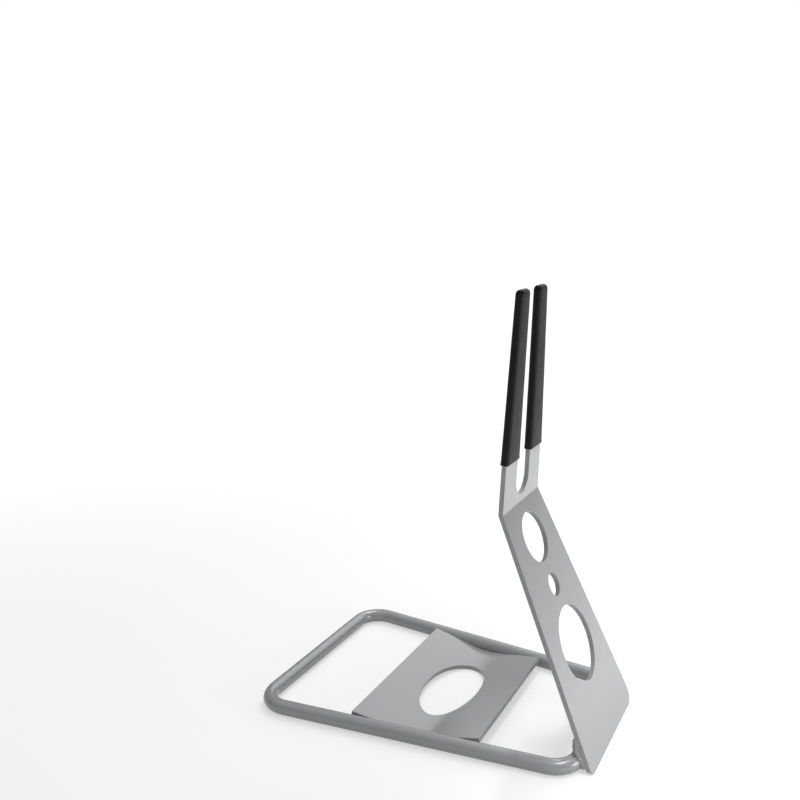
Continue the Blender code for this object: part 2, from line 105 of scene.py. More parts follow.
studio = {
    "floorSize": 12.0,
    "floorDrop": 0.0002,        # the floor lies this far below the tube
    "floorHex": "BCBCBC",       # how much of the lamps' light the floor throws back on the object
    "nearLift": 0.54,           # white added to the floor near the object, as seen and as mirrored
    "farLift": 0.85,            # and far away, where the floor meets the surround
    "liftFrom": 0.35,           # metres from the middle
    "liftTo": 1.60,
    "whiteUpTo": (0.0, 0.06),   # slopes above level between which the mirrored white backdrop fades out
    "surround": 0.02,           # even light that the surround throws on the object
    "lobes": (
        # name, direction, narrowness, strength
        ("front", (0.0, -1.0, 0.05), 3.0, 0.60),
        ("top", (0.0, 0.0, 1.0), 3.0, 0.86),
    ),
    "lamps": (
        # name, place, aimed at, width, height, spread in degrees, watts
        ("keyLow", (1.3, 0.1, 0.28), (0.05, 0.0, 0.1), 0.6, 0.4, 180, 5.1),
        ("strip", (-0.085, 0.55, 1.2), (-0.10, -0.05, 0.0), 0.05, 0.70, 180, 4.6),
        ("floorAhead", (0.42, 0.0, 0.6), (0.42, 0.0, 0.0), 0.3, 0.6, 55, 1.5),
        ("floorBehind", (0.24, 0.60, 0.50), (0.22, 0.55, 0.0), 0.45, 0.45, 70, 0.9),
        ("backTop", (0.0, 1.1, 0.8), (0.0, 0.0, 0.1), 1.6, 0.5, 180, 3.9),
    ),
}


def srgb(code):
    # sRGB hex to linear, as Blender's colour sockets want it
    parts = [int(code[k:k + 2], 16) / 255 for k in (0, 2, 4)]
    return tuple(p / 12.92 if p <= 0.04045 else ((p + 0.055) / 1.055) ** 2.4 for p in parts) + (1.0,)


def clearTree(owner):
    # the node tree of a world or material, emptied
    owner.use_nodes = True
    owner.node_tree.nodes.clear()
    return owner.node_tree


def addNode(tree, kind, inputs=None, **settings):
    # one node, its settings, and its inputs as values or as links
    node = tree.nodes.new(kind)
    for key, value in settings.items():
        setattr(node, key, value)
    for key, value in (inputs or {}).items():
        if isinstance(value, bpy.types.NodeSocket):
            tree.links.new(value, node.inputs[key])
        else:
            node.inputs[key].default_value = value
    return node


def eyeRays(tree):
    # two switches: on for rays straight from the eye, on for rays it sends by a mirror or through glass
    path = addNode(tree, "ShaderNodeLightPath")
    mirrored = addNode(tree, "ShaderNodeMath", {0: path.outputs["Is Glossy Ray"],
                       1: path.outputs["Is Transmission Ray"]}, operation="MAXIMUM")
    return path.outputs["Is Camera Ray"], mirrored.outputs[0]


def addSurround(look):
    # white as seen, white low down as mirrored, and soft lobes of light on the object
    world = bpy.data.worlds.new("whiteSurround")
    bpy.context.scene.world = world
    tree = clearTree(world)
    toward = addNode(tree, "ShaderNodeTexCoord").outputs["Generated"]
    total = look["surround"]
    for name, direction, narrowness, strength in look["lobes"]:
        facing = addNode(tree, "ShaderNodeVectorMath", {0: toward, 1: Vector(direction).normalized()},
                         operation="DOT_PRODUCT")
        ahead = addNode(tree, "ShaderNodeMath", {0: facing.outputs["Value"], 1: 0.0}, operation="MAXIMUM")
        lobe = addNode(tree, "ShaderNodeMath", {0: ahead.outputs[0], 1: narrowness}, operation="POWER",
                       label=name)
        total = addNode(tree, "ShaderNodeMath", {0: lobe.outputs[0], 1: strength, 2: total},
                        operation="MULTIPLY_ADD").outputs[0]
    slope = addNode(tree, "ShaderNodeSeparateXYZ", {0: toward}).outputs["Z"]
    low, high = look["whiteUpTo"]
    backdrop = addNode(tree, "ShaderNodeMapRange", {"Value": slope, "From Min": low, "From Max": high,
                       "To Min": 1.0, "To Max": 0.0}, interpolation_type="SMOOTHSTEP")
    seen, mirrored = eyeRays(tree)
    inMirror = addNode(tree, "ShaderNodeMath", {0: mirrored, 1: backdrop.outputs["Result"]},
                       operation="MULTIPLY")
    toEye = addNode(tree, "ShaderNodeMath", {0: seen, 1: inMirror.outputs[0]}, operation="MAXIMUM")
    white = addNode(tree, "ShaderNodeMix", {"Factor": toEye.outputs[0], 2: total, 3: 1.0})
    light = addNode(tree, "ShaderNodeBackground", {"Color": (1, 1, 1, 1), "Strength": white.outputs[0]})
    addNode(tree, "ShaderNodeOutputWorld", {"Surface": light.outputs[0]})


def addLamps(look):
    for name, place, aim, width, height, spread, watts in look["lamps"]:
        data = bpy.data.lights.new(name, "AREA")
        data.shape = "RECTANGLE"
        data.size = width
        data.size_y = height
        data.spread = radians(spread)
        data.energy = watts
        lamp = bpy.data.objects.new(name, data)
        bpy.context.scene.collection.objects.link(lamp)
        lamp.location = place
        lamp.rotation_euler = (Vector(aim) - Vector(place)).to_track_quat("-Z", "Y").to_euler()
        lamp.visible_camera = False


def addFloor(look):
    half = look["floorSize"] / 2
    corners = [(-half, -half, 0), (half, -half, 0), (half, half, 0), (-half, half, 0)]
    mesh = bpy.data.meshes.new("paperFloor")
    mesh.from_pydata(corners, [], [(0, 1, 2, 3)])
    floor = bpy.data.objects.new("paperFloor", mesh)
    bpy.context.scene.collection.objects.link(floor)
    floor.location.z = -look["floorDrop"]

    # background paper, matt: it takes the object's shadow, and white added far off hides where it ends
    material = bpy.data.materials.new("whiteBackgroundPaper")
    tree = clearTree(material)
    paper = addNode(tree, "ShaderNodeBsdfDiffuse", {"Color": srgb(look["floorHex"])})
    seen, mirrored = eyeRays(tree)
    toEye = addNode(tree, "ShaderNodeMath", {0: seen, 1: mirrored}, operation="MAXIMUM")
    place = addNode(tree, "ShaderNodeTexCoord").outputs["Object"]
    away = addNode(tree, "ShaderNodeVectorMath", {0: place}, operation="LENGTH")
    amount = addNode(tree, "ShaderNodeMapRange", {"Value": away.outputs["Value"],
                     "From Min": look["liftFrom"], "From Max": look["liftTo"],
                     "To Min": look["nearLift"], "To Max": look["farLift"]},
                     interpolation_type="SMOOTHSTEP")
    lift = addNode(tree, "ShaderNodeMath", {0: toEye.outputs[0], 1: amount.outputs["Result"]},
                   operation="MULTIPLY")
    glow = addNode(tree, "ShaderNodeEmission", {"Color": (1, 1, 1, 1), "Strength": lift.outputs[0]})
    both = addNode(tree, "ShaderNodeAddShader", {0: paper.outputs[0], 1: glow.outputs[0]})
    addNode(tree, "ShaderNodeOutputMaterial", {"Surface": both.outputs[0]})
    mesh.materials.append(material)


addSurround(studio)
addLamps(studio)
addFloor(studio)
print("studio set")


# Materials

def perMm(size):
    # texture scale for a pattern of this size in millimetres
    return 1000 / size


powderCoat = {
    # polyester powder coat in silver grey, sprayed and baked on steel: satin gloss, a faint
    # orange peel, and paler rims: partly the coat running thinner there, partly a painted highlight
    "hex": "A2A3A4",
    "paleHex": "A8A9AA",
    # pale colour of the rims: the thinner coat there, and a painted highlight along them
    "thinCoatAndHighlightHex": "C4C5C6",
    "metallic": 0.12,
    "roughness": 0.21,
    "weldRoughness": 0.36,          # duller over the rippled weld metal
    "roughnessOff": (-0.04, 0.05),  # added to the roughness from cloud to cloud
    "cloudMm": 70.0,
    "peelMm": 1.8,
    "peelHeightMm": 0.012,
    "waveMm": 55.0,                 # sheet metal isn't dead flat
    "waveHeightMm": 0.03,
    "edgeRadius": 0.0007,
    "edgeMatch": (0.995, 0.90),     # match of the rounded normal and the true one: plain coat, fully pale rim
    "edgeShare": 0.40,              # how much of the pale colour a rim takes on, thinner coat and painted highlight together
}


def makePowderCoat(name, look, roughness, wavy=False):
    material = bpy.data.materials.new(name)
    tree = clearTree(material)
    place = addNode(tree, "ShaderNodeTexCoord").outputs["Object"]
    cloud = addNode(tree, "ShaderNodeTexNoise", {"Vector": place, "Scale": perMm(look["cloudMm"]),
                    "Detail": 3.0, "Roughness": 0.55})
    tone = addNode(tree, "ShaderNodeMix", {"Factor": cloud.outputs["Fac"], 6: srgb(look["hex"]),
                   7: srgb(look["paleHex"])}, data_type="RGBA")
    # pale rims, partly thinner coat and partly a painted highlight: the rounded normal turns away from
    # the true one there
    geometry = addNode(tree, "ShaderNodeNewGeometry")
    soft = addNode(tree, "ShaderNodeBevel", {"Radius": look["edgeRadius"]}, samples=6)
    match = addNode(tree, "ShaderNodeVectorMath", {0: geometry.outputs["Normal"],
                    1: soft.outputs["Normal"]}, operation="DOT_PRODUCT")
    full, paleEdgeMatch = look["edgeMatch"]
    edge = addNode(tree, "ShaderNodeMapRange", {"Value": match.outputs["Value"], "From Min": full,
                   "From Max": paleEdgeMatch, "To Min": 0.0, "To Max": look["edgeShare"]})
    colour = addNode(tree, "ShaderNodeMix", {"Factor": edge.outputs["Result"], 6: tone.outputs[2],
                     7: srgb(look["thinCoatAndHighlightHex"])}, data_type="RGBA")
    peel = addNode(tree, "ShaderNodeTexNoise", {"Vector": place, "Scale": perMm(look["peelMm"]),
                   "Detail": 2.0, "Roughness": 0.5})
    skin = addNode(tree, "ShaderNodeBump", {"Height": peel.outputs["Fac"], "Strength": 1.0,
                   "Distance": look["peelHeightMm"] / 1000})
    if wavy:
        wave = addNode(tree, "ShaderNodeTexNoise", {"Vector": place, "Scale": perMm(look["waveMm"]),
                       "Detail": 1.0})
        skin = addNode(tree, "ShaderNodeBump", {"Height": wave.outputs["Fac"], "Strength": 1.0,
                       "Distance": look["waveHeightMm"] / 1000, "Normal": skin.outputs["Normal"]})
    glossier, duller = look["roughnessOff"]
    gloss = addNode(tree, "ShaderNodeMapRange", {"Value": cloud.outputs["Fac"],
                    "To Min": roughness + glossier, "To Max": roughness + duller})
    shader = addNode(tree, "ShaderNodeBsdfPrincipled", {"Base Color": colour.outputs[2],
                     "Metallic": look["metallic"], "Roughness": gloss.outputs["Result"],
                     "Normal": skin.outputs["Normal"]})
    addNode(tree, "ShaderNodeOutputMaterial", {"Surface": shader.outputs[0]})
    return material


sleeveRubber = {
    # black rubber, moulded: deep black with a dull sheen and a slightly greyed, handled skin
    "hex": "0D0D0E",
    "greyHex": "171719",
    "handledMm": 14.0,              # from one greyed patch to the next
    "roughness": 0.50,
    "roughnessOff": (-0.06, 0.08),
    "specular": 0.18,
    "grainMm": 2.2,                 # finer in real rubber, and drawn this coarse so that it shows
    "grainHeightMm": 0.02,
}


def makeRubber(name, look):
    material = bpy.data.materials.new(name)
    tree = clearTree(material)
    place = addNode(tree, "ShaderNodeTexCoord").outputs["Object"]
    handled = addNode(tree, "ShaderNodeTexNoise", {"Vector": place, "Scale": perMm(look["handledMm"]),
                      "Detail": 4.0})
    colour = addNode(tree, "ShaderNodeMix", {"Factor": handled.outputs["Fac"], 6: srgb(look["hex"]),
                     7: srgb(look["greyHex"])}, data_type="RGBA")
    grain = addNode(tree, "ShaderNodeTexNoise", {"Vector": place, "Scale": perMm(look["grainMm"]),
                    "Detail": 3.0})
    skin = addNode(tree, "ShaderNodeBump", {"Height": grain.outputs["Fac"], "Strength": 1.0,
                   "Distance": look["grainHeightMm"] / 1000})
    glossier, duller = look["roughnessOff"]
    gloss = addNode(tree, "ShaderNodeMapRange", {"Value": handled.outputs["Fac"],
                    "To Min": look["roughness"] + glossier, "To Max": look["roughness"] + duller})
    shader = addNode(tree, "ShaderNodeBsdfPrincipled", {"Base Color": colour.outputs[2],
                     "Roughness": gloss.outputs["Result"], "Specular IOR Level": look["specular"],
                     "Normal": skin.outputs["Normal"]})
    addNode(tree, "ShaderNodeOutputMaterial", {"Surface": shader.outputs[0]})
    return material


tubeCoat = makePowderCoat("powderCoatOnTube", powderCoat, powderCoat["roughness"])
sheetCoat = makePowderCoat("powderCoatOnSheet", powderCoat, powderCoat["roughness"], wavy=True)
weldCoat = makePowderCoat("powderCoatOnWeld", powderCoat, powderCoat["weldRoughness"])
rubber = makeRubber("mouldedBlackRubber", sleeveRubber)
print("materials made")


# Shared shape helpers

meshing = {
    "joinWithin": 1e-6,            # points closer than this are one
    "flatWithin": radians(1),      # faces that meet flatter than this are one
    "rimAbove": radians(40),       # a sheet's edges sharper than this are rims
    "rimSteps": 4,
    "creaseAbove": radians(50),    # a creased piece's edges sharper than this stay crisp
    "levelNormal": 0.999,          # above this rise of its normal, a flat sheet's face is level
    "wallNormal": 0.001,           # and below this one it is a side wall
}


def newPiece(name, shape, material, slot, *nodes, folded=False, creased=False):
    # finish a bmesh as a piece that stands for CAD nodes and rides on the rack's one body
    if not folded:
        bmesh.ops.recalc_face_normals(shape, faces=shape.faces)
    mesh = bpy.data.meshes.new(name)
    shape.to_mesh(mesh)
    shape.free()
    mesh.materials.append(material)
    mesh.shade_smooth()
    if folded:
        shadeSheet(mesh)
    if creased:
        mesh.set_sharp_from_angle(angle=meshing["creaseAbove"])
    piece = bpy.data.objects.new(name, mesh)
    bpy.context.scene.collection.objects.link(piece)
    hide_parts(*nodes)
    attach(piece, "root")


def evenTurns(count):
    # angles that share a full turn evenly
    return [2 * pi * k / count for k in range(count)]


def cornerArc(before, corner, after, radius, steps):
    # points of the arc that rounds one corner of a flat path
    back = (before - corner).normalized()
    ahead = (after - corner).normalized()
    half = acos(max(-1.0, min(1.0, back.dot(ahead)))) / 2
    reach = radius / tan(half)
    centre = corner + (back + ahead).normalized() * (radius / sin(half))
    start = corner + back * reach - centre
    end = corner + ahead * reach - centre
    angle = atan2(start.y, start.x)
    turn = (atan2(end.y, end.x) - angle + pi) % (2 * pi) - pi
    return [centre + radius * Vector((cos(angle + turn * k / steps), sin(angle + turn * k / steps)))
            for k in range(steps + 1)]


def roundedPath(corners, steps):
    # closed flat path through (point, radius) corners; radius 0 stays sharp
    path = []
    for k, (corner, radius) in enumerate(corners):
        if radius:
            before, after = corners[k - 1][0], corners[(k + 1) % len(corners)][0]
            path += cornerArc(before, corner, after, radius, steps)
        else:
            path.append(corner)
    return path


def addRing(shape, points):
    return [shape.verts.new(point) for point in points]


def skinRings(shape, rings):
    # a wall of four-sided faces from each ring to the next
    for first, second in zip(rings, rings[1:]):
        count = len(first)
        for k in range(count):
            shape.faces.new((first[k], first[(k + 1) % count], second[(k + 1) % count], second[k]))


def sheetShape(outlines, thickness):
    # flat sheet in XY, the first outline less the others, as a bmesh
    curve = bpy.data.curves.new("sheet", "CURVE")
    curve.dimensions = "2D"
    curve.fill_mode = "BOTH"
    curve.extrude = thickness / 2
    for outline in outlines:
        spline = curve.splines.new("POLY")
        spline.points.add(len(outline) - 1)
        for k, point in enumerate(outline):
            spline.points[k].co = (point.x, point.y, 0, 1)
        spline.use_cyclic_u = True
    maker = bpy.data.objects.new("sheet", curve)
    bpy.context.scene.collection.objects.link(maker)
    bpy.context.view_layer.update()
    mesh = bpy.data.meshes.new_from_object(maker.evaluated_get(bpy.context.evaluated_depsgraph_get()))
    bpy.data.objects.remove(maker, do_unlink=True)
    bpy.data.curves.remove(curve)
    shape = bmesh.new()
    shape.from_mesh(mesh)
    bpy.data.meshes.remove(mesh)
    bmesh.ops.remove_doubles(shape, verts=shape.verts, dist=meshing["joinWithin"])
    bmesh.ops.recalc_face_normals(shape, faces=shape.faces)
    level = [edge for edge in shape.edges if edge.calc_face_angle(pi) < meshing["flatWithin"]]
    bmesh.ops.dissolve_limit(shape, angle_limit=meshing["flatWithin"], verts=[], edges=level)
    return shape


def roundEdges(shape, width):
    # round the rims of a sheet that still lies flat
    rims = [edge for edge in shape.edges if edge.calc_face_angle(0.0) > meshing["rimAbove"]]
    bmesh.ops.bevel(shape, geom=rims, offset=width, offset_type="OFFSET", segments=meshing["rimSteps"],
                    profile=0.5, affect="EDGES", clamp_overlap=True, miter_outer="ARC")


def bendSheet(shape, lines, axis, placer):
    # rank the faces while they lie flat: 2 sheet, 1 side wall, 0 rounding
    rank = shape.faces.layers.int.new("rank")
    for face in shape.faces:
        rise = abs(face.normal.z)
        face[rank] = 2 if rise > meshing["levelNormal"] else 1 if rise < meshing["wallNormal"] else 0
    # cut the sheet along the bend's lines, then move every point to its place on the bent one
    for line in lines:
        everything = shape.verts[:] + shape.edges[:] + shape.faces[:]
        bmesh.ops.bisect_plane(shape, geom=everything, dist=meshing["joinWithin"], plane_co=axis * line,
                               plane_no=axis)
    for vertex in shape.verts:
        vertex.co = placer(vertex.co)


def shadeSheet(mesh):
    # each corner takes its normal from the highest-ranking faces around it, so the flats stay flat
    ranks = mesh.attributes["rank"].data
    best = [(-1, Vector())] * len(mesh.vertices)
    for face in mesh.polygons:
        rank = ranks[face.index].value
        for k in face.vertices:
            known, total = best[k]
            if rank > known:
                best[k] = (rank, face.normal * face.area)
            elif rank == known:
                best[k] = (rank, total + face.normal * face.area)
    mesh.normals_split_custom_set_from_vertices([total.normalized() for known, total in best])


# Base loop: one bent tube, its two ends welded together in the middle of the foot end

loop = {
    "radius": 0.0065,
    "wall": 0.0015,
    "bendRadius": 0.0225,
    "footX": 0.13516,        # the foot end's axis
    "length": 0.2785,        # between the end axes
    "freeWidth": 0.2026,     # between the side axes, carried on to each end's axis
    "footWidth": 0.1470,
    "seamGap": 0.0016,
    "seamSeat": 0.0003,      # clear on each side of the seam's weld metal
    "seamDip": 0.0002,       # at the weld metal's two edges
    "sides": 56,
    "bendSteps": 22,
}


def sideY(x):
    share = (x - loop["footX"] + loop["length"]) / loop["length"]
    return (loop["freeWidth"] + (loop["footWidth"] - loop["freeWidth"]) * share) / 2


def loopAxis():
    foot, free = loop["footX"], loop["footX"] - loop["length"]
    wide, narrow = loop["freeWidth"] / 2, loop["footWidth"] / 2
    corners = [Vector((foot, narrow)), Vector((free, wide)),
               Vector((free, -wide)), Vector((foot, -narrow))]
    flat = roundedPath([(corner, loop["bendRadius"]) for corner in corners], loop["bendSteps"])
    return [Vector((point.x, point.y, loop["radius"])) for point in flat]


def tubeRing(shape, points, k, radius):
    # ring square to the path at point k
    before, after = points[max(k - 1, 0)], points[min(k + 1, len(points) - 1)]
    ahead = ((points[k] - before).normalized() + (after - points[k]).normalized()).normalized()
    side = ahead.cross(Vector((0, 0, 1))).normalized()
    up = side.cross(ahead)
    return addRing(shape, [points[k] + radius * (side * cos(angle) + up * sin(angle))
                           for angle in evenTurns(loop["sides"])])


def buildLoop():
    gap = Vector((0, loop["seamGap"] / 2, 0))
    middle = Vector((loop["footX"], 0, loop["radius"]))
    points = [middle + gap] + loopAxis() + [middle - gap]
    shape = bmesh.new()
    skins = []
    for radius in (loop["radius"], loop["radius"] - loop["wall"]):
        rings = [tubeRing(shape, points, k, radius) for k in range(len(points))]
        skinRings(shape, rings)
        skins.append(rings)
    # the wall shows at both ends
    for end in (0, -1):
        skinRings(shape, [skins[0][end], skins[1][end]])
    newPiece("baseLoop", shape, tubeCoat, "painted_steel", "base_loop", creased=True)


def buildSeamWeld():
    # ring of weld metal, ground flush with the tube
    outer, inner = loop["radius"], loop["radius"] - loop["wall"]
    half = loop["seamGap"] / 2 - loop["seamSeat"]
    dip = outer - loop["seamDip"]
    profile = ((dip, -half), (outer, -half / 2), (outer, half / 2), (dip, half),
               (inner, half), (inner, -half))
    shape = bmesh.new()
    rings = []
    for radius, y in profile:
        rings.append(addRing(shape, [(loop["footX"] + radius * cos(angle), y,
                                      loop["radius"] + radius * sin(angle))
                                     for angle in evenTurns(loop["sides"])]))
    skinRings(shape, rings + rings[:1])
    newPiece("loopSeamWeld", shape, weldCoat, "painted_weld", "loop_seam_weld", creased=True)


buildLoop()
buildSeamWeld()
print("base loop built")


# Cross plate: a sheet with a long hole in its middle, bent to a shallow trough

cross = {
    "x": 0.00086,            # the trough's middle
    "width": 0.1158,         # along the sheet
    "thickness": 0.0040,
    "clearance": 0.00025,    # between the trough's middle and the floor
    "seat": 0.0003,          # between the plate's ends and the tube
    "edgeRound": 0.0010,
    "bendRadius": 0.0900,
    "wingRise": radians(10.2),
    "bendCuts": 24,
    "holeWidth": 0.0504,     # along the sheet
    "holeLength": 0.0924,
    "holeShift": -0.0014,    # nearer the near side
    "holeSteps": 16,         # on each quarter, beyond the bend's lines
}

# the bend, along the middle of the sheet's thickness
troughRadius = cross["bendRadius"] + cross["thickness"] / 2
halfArc = troughRadius * cross["wingRise"]
troughCentre = Vector((cross["x"], 0, cross["clearance"] + cross["thickness"] / 2 + troughRadius))
troughLines = [halfArc * (2 * k / cross["bendCuts"] - 1) for k in range(cross["bendCuts"] + 1)]


def placeOnTrough(point):
    # a point of the flat sheet, placed on the trough
    bent = max(-halfArc, min(point.x, halfArc))
    turned = bent / troughRadius
    along = Vector((cos(turned), 0, sin(turned)))
    up = Vector((-sin(turned), 0, cos(turned)))
    onBend = troughCentre - up * (troughRadius - point.z)
    return onBend + along * (point.x - bent) + Vector((0, point.y, 0))


def crossEndY(x):
    # the plate's end, clear of the slanting side run
    flare = (loop["freeWidth"] - loop["footWidth"]) / 2 / loop["length"]
    return sideY(x) - (loop["radius"] + cross["seat"]) * sqrt(1 + flare * flare)


def longHole():
    # an ellipse with its points on the bend's lines, and evenly turned ones beyond them
    half = cross["holeWidth"] / 2
    first = acos(halfArc / half)
    ends = [first * k / cross["holeSteps"] for k in range(cross["holeSteps"])]
    angles = ends + [acos(line / half) for line in reversed(troughLines)]
    angles += [pi - angle for angle in reversed(ends[1:])]
    angles += [angle + pi for angle in angles]
    return [Vector((half * cos(angle), cross["holeShift"] + cross["holeLength"] / 2 * sin(angle)))
            for angle in angles]


def buildCrossPlate():
    stations = [-cross["width"] / 2, -halfArc, halfArc, cross["width"] / 2]
    side = [Vector((x, crossEndY(placeOnTrough(Vector((x, 0, 0))).x))) for x in stations]
    outline = side + [Vector((point.x, -point.y)) for point in reversed(side)]
    shape = sheetShape([outline, longHole()], cross["thickness"])
    roundEdges(shape, cross["edgeRound"])
    bendSheet(shape, troughLines, Vector((1, 0, 0)), placeOnTrough)
    newPiece("crossPlate", shape, sheetCoat, "painted_plate", "cross_plate", folded=True)


buildCrossPlate()
print("cross plate built")


# Upright: one tapered plate, bent once, with the fork cut in its top

upright = {
    "thickness": 0.0040,
    "edgeRound": 0.0010,
    "seat": 0.0003,              # between the plate and the tube, and between a prong and its sleeve
    "footWidth": 0.1282,
    "nearCorner": 0.0045,        # the foot's two corners aren't alike
    "farCorner": 0.0110,
    "lowerLength": 0.2129,
    "lowerLean": radians(23.8),
    "bendWidth": 0.0845,
    "bendRadius": 0.0040,
    "upperLength": 0.1785,
    "upperLean": radians(2.6),
    "shoulderHeight": 0.0360,    # this and the slot's bottom are counted from the bend
    "shoulderWidth": 0.0820,
    "topWidth": 0.0580,
    "slotBottom": 0.0069,
    "slotWidth": 0.0296,
    "slotTopWidth": 0.0258,
    "tipRadius": 0.0030,
    "holes": ((0.0833, 0.0650), (0.1364, 0.0200), (0.1799, 0.0440)),   # height up the plate, diameter
    "holeStep": 0.0018,          # a quarter of a hole has a step for every 1.8 mm of its diameter
    "slotSteps": 48,             # round the slot's bottom
    "cornerSteps": 10,
    "bendCuts": 12,
}

# the flat blank: where the bend starts, and where the fork's heights are counted from
midBend = upright["bendRadius"] + upright["thickness"] / 2
bendAngle = upright["lowerLean"] + upright["upperLean"]
setback = midBend * tan(bendAngle / 2)
bendArc = midBend * bendAngle
bendStart = upright["lowerLength"] - setback
forkBase = upright["lowerLength"] - 2 * setback + bendArc

# the plate in space: where its mid-plane meets the floor, where it bends, and its directions
lean = upright["lowerLean"]
lowerUp = Vector((-sin(lean), 0, cos(lean)))
lowerOut = Vector((cos(lean), 0, sin(lean)))
footReach = (loop["radius"] + upright["seat"] + upright["thickness"] / 2
             + loop["radius"] * sin(lean)) / cos(lean)
footPoint = Vector((loop["footX"] + footReach, 0, 0))
bendPoint = footPoint + lowerUp * upright["lowerLength"]
upperUp = Vector((sin(upright["upperLean"]), 0, cos(upright["upperLean"])))
upperOut = Vector((cos(upright["upperLean"]), 0, -sin(upright["upperLean"])))
acrossRack = Vector((0, 1, 0))


def forkOuter(height):
    # half the plate's width at a height above the bend
    low, high = upright["shoulderHeight"], upright["upperLength"]
    shoulder = upright["shoulderWidth"]
    if height < low:
        return (upright["bendWidth"] + (shoulder - upright["bendWidth"]) * height / low) / 2
    return (shoulder + (upright["topWidth"] - shoulder) * (height - low) / (high - low)) / 2


def slotHalf(height):
    # half the slot's width at a height above the bend
    start = upright["slotBottom"] + upright["slotWidth"] / 2
    share = (height - start) / (upright["upperLength"] - start)
    return (upright["slotWidth"] + (upright["slotTopWidth"] - upright["slotWidth"]) * share) / 2


def uprightOutline():
    # round the flat blank, from the far foot corner up, down and up the slot, and down to the near one
    top = forkBase + upright["upperLength"]
    slotRadius = upright["slotWidth"] / 2
    slotCentre = Vector((0, forkBase + upright["slotBottom"] + slotRadius))
    farSide = [(Vector((upright["bendWidth"] / 2, bendStart)), 0),
               (Vector((upright["bendWidth"] / 2, forkBase + setback)), 0),
               (Vector((forkOuter(upright["shoulderHeight"]), forkBase + upright["shoulderHeight"])), 0),
               (Vector((upright["topWidth"] / 2, top)), upright["tipRadius"]),
               (Vector((upright["slotTopWidth"] / 2, top)), upright["tipRadius"])]
    slot = []
    for k in range(upright["slotSteps"] + 1):
        angle = pi * k / upright["slotSteps"]
        slot.append((slotCentre + slotRadius * Vector((cos(angle), -sin(angle))), 0))
    nearSide = [(Vector((-point.x, point.y)), radius) for point, radius in reversed(farSide)]
    farFoot = (Vector((upright["footWidth"] / 2, 0)), upright["farCorner"])
    nearFoot = (Vector((-upright["footWidth"] / 2, 0)), upright["nearCorner"])
    return roundedPath([farFoot] + farSide + slot + nearSide + [nearFoot], upright["cornerSteps"])


def plateHole(height, diameter):
    centre = Vector((0, height))
    return [centre + Vector((diameter / 2 * cos(angle), diameter / 2 * sin(angle)))
            for angle in evenTurns(4 * ceil(diameter / upright["holeStep"]))]


def foldPoint(point):
    # a point of the flat blank, placed on the bent plate; the foot edge is cut level with the floor
    turned = max(0.0, min(point.y - bendStart, bendArc)) / midBend
    nearFloor = max(0.0, 1 - point.y / max(upright["nearCorner"], upright["farCorner"]))
    angle = lean - turned
    up = Vector((-sin(angle), 0, cos(angle)))
    out = Vector((cos(angle), 0, sin(angle)))
    along = min(point.y, bendStart) - nearFloor * point.z * tan(lean)
    centre = footPoint + lowerUp * along + lowerOut * midBend
    beyond = max(0.0, point.y - bendStart - bendArc)
    return centre + out * (point.z - midBend) + up * beyond + acrossRack * point.x


def buildUpright():
    holes = [plateHole(height, diameter) for height, diameter in upright["holes"]]
    shape = sheetShape([uprightOutline()] + holes, upright["thickness"])
    roundEdges(shape, upright["edgeRound"])
    lines = [bendStart + bendArc * k / upright["bendCuts"] for k in range(upright["bendCuts"] + 1)]
    bendSheet(shape, lines, Vector((0, 1, 0)), foldPoint)
    newPiece("uprightPlate", shape, sheetCoat, "painted_plate", "upright_plate", folded=True)


buildUpright()
print("upright built")


# Sleeves: moulded rubber, pushed over the prongs, closed at the tip

sleeve = {
    "wall": 0.0013,
    "mouth": 0.0416,         # height of the open end above the bend
    "pocketRound": 0.0007,   # corners of the inside
    "pocketStart": 0.0040,   # the inside's lowest straight ring, above the mouth
    "lipRound": 0.0026,      # corners at the outside of the mouth's round lip
    "longRound": 0.0033,     # corners of the outside
    "tipRound": 0.0033,
    "tipCorner": 0.0038,     # corners where the tip starts to close
    "leastRound": 0.0002,
    "waveMm": 16.0,          # the skin isn't dead flat
    "waveHeight": 0.00012,
    "waveFade": 0.0060,      # the waves die out over this height above the mouth
    "waveShift": 0.3,        # so that the two sleeves aren't alike
    "rows": 46,
    "lipSteps": 8,
    "tipSteps": 7,
    "cornerSteps": 6,
}


def sleeveRing(side, height, grow, cornerRadius, inset=0.0):
    # rounded rectangle round the prong at this height, in the fork's own frame
    innerEdge = slotHalf(height) - grow + inset
    outerEdge = forkOuter(height) + grow - inset
    halfThick = upright["thickness"] / 2 + grow - inset
    corners = [Vector((outerEdge, halfThick)), Vector((innerEdge, halfThick)),
               Vector((innerEdge, -halfThick)), Vector((outerEdge, -halfThick))]
    radius = max(cornerRadius - inset, sleeve["leastRound"])
    flat = roundedPath([(corner, radius) for corner in corners], sleeve["cornerSteps"])
    return [Vector((side * point.x, height, point.y)) for point in flat]


def placeOnFork(point):
    return bendPoint + acrossRack * point.x + upperUp * point.y + upperOut * point.z


def sleeveDent(point, side):
    # gentle unevenness of the moulded skin, fading out at the mouth
    sample = Vector((point.x + sleeve["waveShift"] * side, point.y, point.z)) * perMm(sleeve["waveMm"])
    fade = min(1.0, max(0.0, (point.y - sleeve["mouth"]) / sleeve["waveFade"]))
    return sleeve["waveHeight"] * fade * abs(noise.noise(sample))


